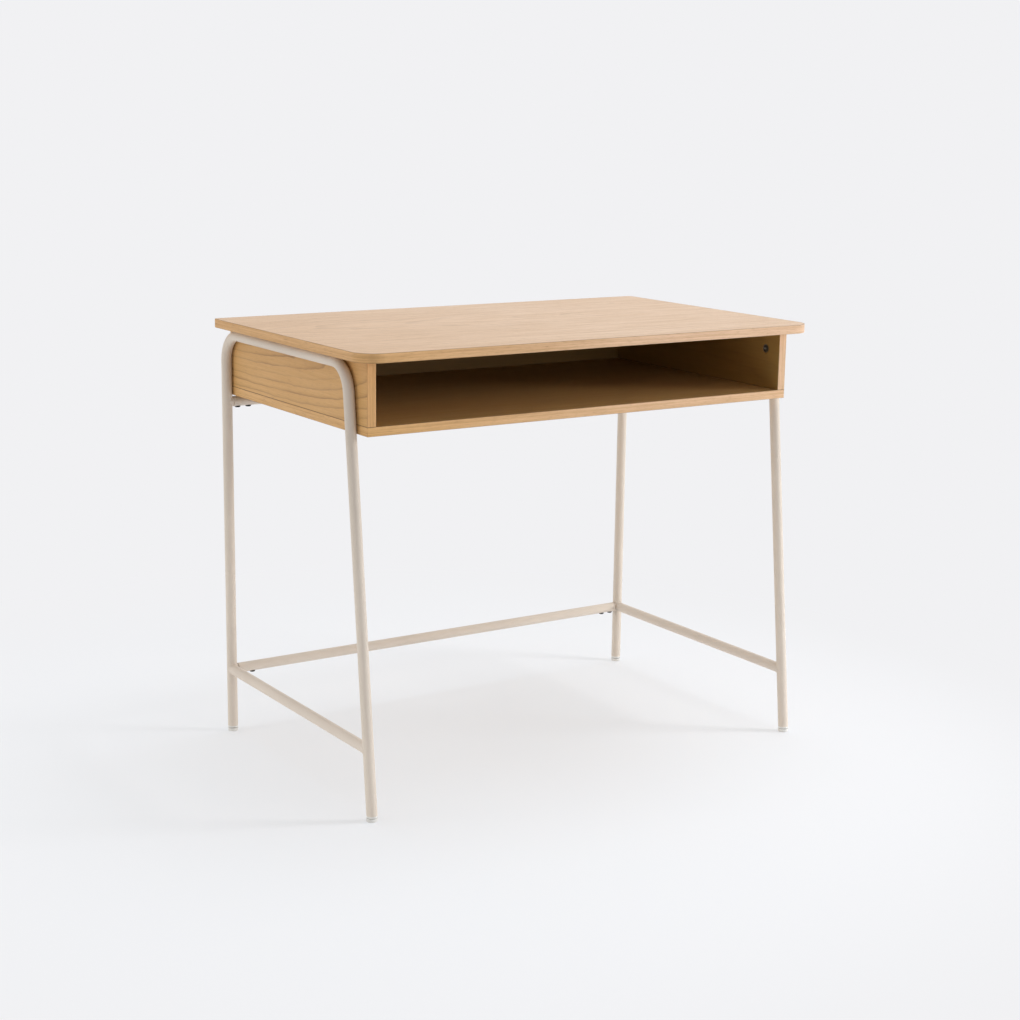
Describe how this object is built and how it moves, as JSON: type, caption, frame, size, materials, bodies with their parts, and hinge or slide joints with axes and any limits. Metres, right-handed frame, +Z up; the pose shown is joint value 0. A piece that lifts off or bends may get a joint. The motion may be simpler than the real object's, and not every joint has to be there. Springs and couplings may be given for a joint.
{
  "type": "kids desk",
  "caption": "Child's writing desk with a rounded wooden top over an open-fronted book cubby, carried by bent steel tube hoops with stretchers, rear crossbars and levelling feet.",
  "frame": {"origin": "centre of the desk's plan, on the floor under the middle of the top", "axes": "+X to the right as seen by the person at the desk, +Y away from the person towards the back, +Z up"},
  "size_m": [0.9, 0.54, 0.75],
  "materials": {
    "oak_veneer": "satin lacquered oak veneer on board",
    "oak_edge_band": "satin lacquered edge band",
    "powder_coat": "fine satin powder coat, warm off-white",
    "black_steel": "black oxide",
    "zinc_steel": "zinc plated",
    "dowel_wood": "raw beech",
    "glide_plastic": "translucent white plastic"
  },
  "bodies": {
    "desk": {"desk_top": "oak_veneer", "bottom_panel": "oak_veneer", "back_panel": "oak_veneer", "side_panel_left": "oak_veneer", "side_panel_right": "oak_veneer", "top_edge_band": "oak_edge_band", "bottom_edge_band": "oak_edge_band", "side_band_left": "oak_edge_band", "side_band_right": "oak_edge_band", "upper_crossbar": "powder_coat", "lower_crossbar": "powder_coat", "crossbar_screws": "black_steel", "hoop_bolts": "black_steel", "hoop_bolt_washers": "zinc_steel", "hoop_threaded_bushes": "zinc_steel", "cam_locks": "zinc_steel", "cam_bolts": "zinc_steel", "bottom_panel_screws": "zinc_steel", "top_dowels": "dowel_wood", "back_dowels": "dowel_wood", "leg_hoop_left": "powder_coat", "side_stretcher_left": "powder_coat", "upper_spigot_left": "powder_coat", "lower_spigot_left": "powder_coat", "leg_hoop_right": "powder_coat", "side_stretcher_right": "powder_coat", "upper_spigot_right": "powder_coat", "lower_spigot_right": "powder_coat", "foot_insert_front_left": "glide_plastic", "foot_insert_front_right": "glide_plastic", "foot_insert_rear_left": "glide_plastic", "foot_insert_rear_right": "glide_plastic"},
    "foot_front_left": {"levelling_foot_front_left": "glide_plastic"},
    "foot_front_right": {"levelling_foot_front_right": "glide_plastic"},
    "foot_rear_left": {"levelling_foot_rear_left": "glide_plastic"},
    "foot_rear_right": {"levelling_foot_rear_right": "glide_plastic"}
  },
  "joints": [
    {"name": "level_front_left", "type": "slide", "parent": "desk", "child": "foot_front_left", "axis": [0, 0, -1], "range_m": [-0.0007, 0.008]},
    {"name": "level_front_right", "type": "slide", "parent": "desk", "child": "foot_front_right", "axis": [0, 0, -1], "range_m": [-0.0007, 0.008]},
    {"name": "level_rear_left", "type": "slide", "parent": "desk", "child": "foot_rear_left", "axis": [0, 0, -1], "range_m": [-0.0007, 0.008]},
    {"name": "level_rear_right", "type": "slide", "parent": "desk", "child": "foot_rear_right", "axis": [0, 0, -1], "range_m": [-0.0007, 0.008]}
  ]
}
